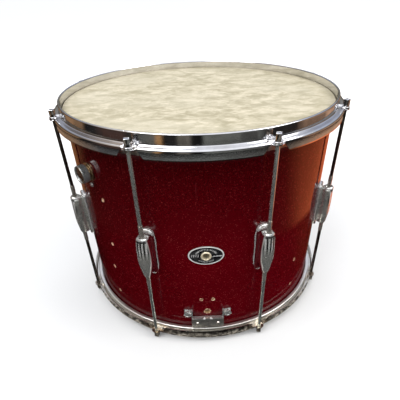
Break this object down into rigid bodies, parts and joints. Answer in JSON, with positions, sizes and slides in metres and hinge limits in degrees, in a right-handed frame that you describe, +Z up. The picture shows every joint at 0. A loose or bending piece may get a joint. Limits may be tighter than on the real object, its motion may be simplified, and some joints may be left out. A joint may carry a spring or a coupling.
{
  "type": "tom tom drum",
  "caption": "Wide shallow tom drum: sparkle-wrapped shell, chromed hoops drawn down by key rods and lugs, a film head at each end, turning tone control.",
  "frame": {"origin": "on the drum's axis, at the lower hoop's edge, where it stands", "axes": "+Z up along the drum's axis, badge and vent facing -Y, +X to the right of someone facing the badge"},
  "size_m": [0.407, 0.407, 0.3186],
  "materials": {
    "shell_wood": "plain bent ply inside",
    "sparkle_wrap": "burgundy sparkle, glossy",
    "head_film": "mottled cream film",
    "flesh_hoop_metal": "bare metal",
    "hoop_chrome": "polished, lightly pitted",
    "rod_chrome": "polished",
    "nut_nickel": "warm nickel plate",
    "lug_chrome": "polished, lightly pitted",
    "fitting_chrome": "polished, worn",
    "badge_enamel": "black with a bright border",
    "vent_brass": "dull plated brass",
    "spring_steel": "plated strip",
    "plate_steel": "grey, worn",
    "muffler_felt": "pressed felt"
  },
  "bodies": {
    "drum": {"badge": "badge_enamel", "bottom_flesh_hoop": "flesh_hoop_metal", "bottom_head": "head_film", "bottom_hoop": "hoop_chrome", "bottom_swivel_nut_1": "nut_nickel", "bottom_swivel_nut_2": "nut_nickel", "bottom_swivel_nut_3": "nut_nickel", "bottom_swivel_nut_4": "nut_nickel", "bottom_swivel_nut_5": "nut_nickel", "bottom_swivel_nut_6": "nut_nickel", "bottom_swivel_nut_7": "nut_nickel", "bottom_swivel_nut_8": "nut_nickel", "butt_bolt_left": "fitting_chrome", "butt_bolt_right": "fitting_chrome", "butt_bracket": "spring_steel", "butt_clamp_plate": "plate_steel", "clamp_screw_left": "fitting_chrome", "clamp_screw_right": "fitting_chrome", "lug_1": "lug_chrome", "lug_2": "lug_chrome", "lug_3": "lug_chrome", "lug_4": "lug_chrome", "lug_5": "lug_chrome", "lug_6": "lug_chrome", "lug_7": "lug_chrome", "lug_8": "lug_chrome", "shell": "shell_wood", "shell_wrap": "sparkle_wrap", "tone_control_collar": "fitting_chrome", "top_flesh_hoop": "flesh_hoop_metal", "top_head": "head_film", "top_hoop": "hoop_chrome", "top_swivel_nut_1": "nut_nickel", "top_swivel_nut_2": "nut_nickel", "top_swivel_nut_3": "nut_nickel", "top_swivel_nut_4": "nut_nickel", "top_swivel_nut_5": "nut_nickel", "top_swivel_nut_6": "nut_nickel", "top_swivel_nut_7": "nut_nickel", "top_swivel_nut_8": "nut_nickel", "vent_grommet": "vent_brass"},
    "top_rod_1": {"top_tension_rod_1": "rod_chrome"},
    "top_rod_2": {"top_tension_rod_2": "rod_chrome"},
    "top_rod_3": {"top_tension_rod_3": "rod_chrome"},
    "top_rod_4": {"top_tension_rod_4": "rod_chrome"},
    "top_rod_5": {"top_tension_rod_5": "rod_chrome"},
    "top_rod_6": {"top_tension_rod_6": "rod_chrome"},
    "top_rod_7": {"top_tension_rod_7": "rod_chrome"},
    "top_rod_8": {"top_tension_rod_8": "rod_chrome"},
    "bottom_rod_1": {"bottom_tension_rod_1": "rod_chrome"},
    "bottom_rod_2": {"bottom_tension_rod_2": "rod_chrome"},
    "bottom_rod_3": {"bottom_tension_rod_3": "rod_chrome"},
    "bottom_rod_4": {"bottom_tension_rod_4": "rod_chrome"},
    "bottom_rod_5": {"bottom_tension_rod_5": "rod_chrome"},
    "bottom_rod_6": {"bottom_tension_rod_6": "rod_chrome"},
    "bottom_rod_7": {"bottom_tension_rod_7": "rod_chrome"},
    "bottom_rod_8": {"bottom_tension_rod_8": "rod_chrome"},
    "tone_knob": {"tone_control_knob": "fitting_chrome"},
    "muffler": {"muffler_arm": "spring_steel", "muffler_felt": "muffler_felt"}
  },
  "joints": [
    {"name": "top_rod_1_turn", "type": "hinge", "parent": "drum", "child": "top_rod_1", "pos_m": [0.07795, -0.18819, 0.304], "axis": [0, 0, 1], "continuous": true},
    {"name": "top_rod_2_turn", "type": "hinge", "parent": "drum", "child": "top_rod_2", "pos_m": [0.18819, -0.07795, 0.304], "axis": [0, 0, 1], "continuous": true},
    {"name": "top_rod_3_turn", "type": "hinge", "parent": "drum", "child": "top_rod_3", "pos_m": [0.18819, 0.07795, 0.304], "axis": [0, 0, 1], "continuous": true},
    {"name": "top_rod_4_turn", "type": "hinge", "parent": "drum", "child": "top_rod_4", "pos_m": [0.07795, 0.18819, 0.304], "axis": [0, 0, 1], "continuous": true},
    {"name": "top_rod_5_turn", "type": "hinge", "parent": "drum", "child": "top_rod_5", "pos_m": [-0.07795, 0.18819, 0.304], "axis": [0, 0, 1], "continuous": true},
    {"name": "top_rod_6_turn", "type": "hinge", "parent": "drum", "child": "top_rod_6", "pos_m": [-0.18819, 0.07795, 0.304], "axis": [0, 0, 1], "continuous": true},
    {"name": "top_rod_7_turn", "type": "hinge", "parent": "drum", "child": "top_rod_7", "pos_m": [-0.18819, -0.07795, 0.304], "axis": [0, 0, 1], "continuous": true},
    {"name": "top_rod_8_turn", "type": "hinge", "parent": "drum", "child": "top_rod_8", "pos_m": [-0.07795, -0.18819, 0.304], "axis": [0, 0, 1], "continuous": true},
    {"name": "bottom_rod_1_turn", "type": "hinge", "parent": "drum", "child": "bottom_rod_1", "pos_m": [0.07795, -0.18819, 0.013], "axis": [0, 0, 1], "continuous": true},
    {"name": "bottom_rod_2_turn", "type": "hinge", "parent": "drum", "child": "bottom_rod_2", "pos_m": [0.18819, -0.07795, 0.013], "axis": [0, 0, 1], "continuous": true},
    {"name": "bottom_rod_3_turn", "type": "hinge", "parent": "drum", "child": "bottom_rod_3", "pos_m": [0.18819, 0.07795, 0.013], "axis": [0, 0, 1], "continuous": true},
    {"name": "bottom_rod_4_turn", "type": "hinge", "parent": "drum", "child": "bottom_rod_4", "pos_m": [0.07795, 0.18819, 0.013], "axis": [0, 0, 1], "continuous": true},
    {"name": "bottom_rod_5_turn", "type": "hinge", "parent": "drum", "child": "bottom_rod_5", "pos_m": [-0.07795, 0.18819, 0.013], "axis": [0, 0, 1], "continuous": true},
    {"name": "bottom_rod_6_turn", "type": "hinge", "parent": "drum", "child": "bottom_rod_6", "pos_m": [-0.18819, 0.07795, 0.013], "axis": [0, 0, 1], "continuous": true},
    {"name": "bottom_rod_7_turn", "type": "hinge", "parent": "drum", "child": "bottom_rod_7", "pos_m": [-0.18819, -0.07795, 0.013], "axis": [0, 0, 1], "continuous": true},
    {"name": "bottom_rod_8_turn", "type": "hinge", "parent": "drum", "child": "bottom_rod_8", "pos_m": [-0.07795, -0.18819, 0.013], "axis": [0, 0, 1], "continuous": true},
    {"name": "tone_knob_turn", "type": "hinge", "parent": "drum", "child": "tone_knob", "pos_m": [-0.15094, -0.13121, 0.25], "axis": [0.7547, 0.6561, 0], "range_deg": [0, 170]},
    {"name": "muffler_lift", "type": "slide", "parent": "drum", "child": "muffler", "axis": [0, 0, 1], "range_m": [0, 0.006]}
  ],
  "couplings": [
    {"joint": "muffler_lift", "follows": "tone_knob_turn", "m_per_rad": 0.002}
  ]
}
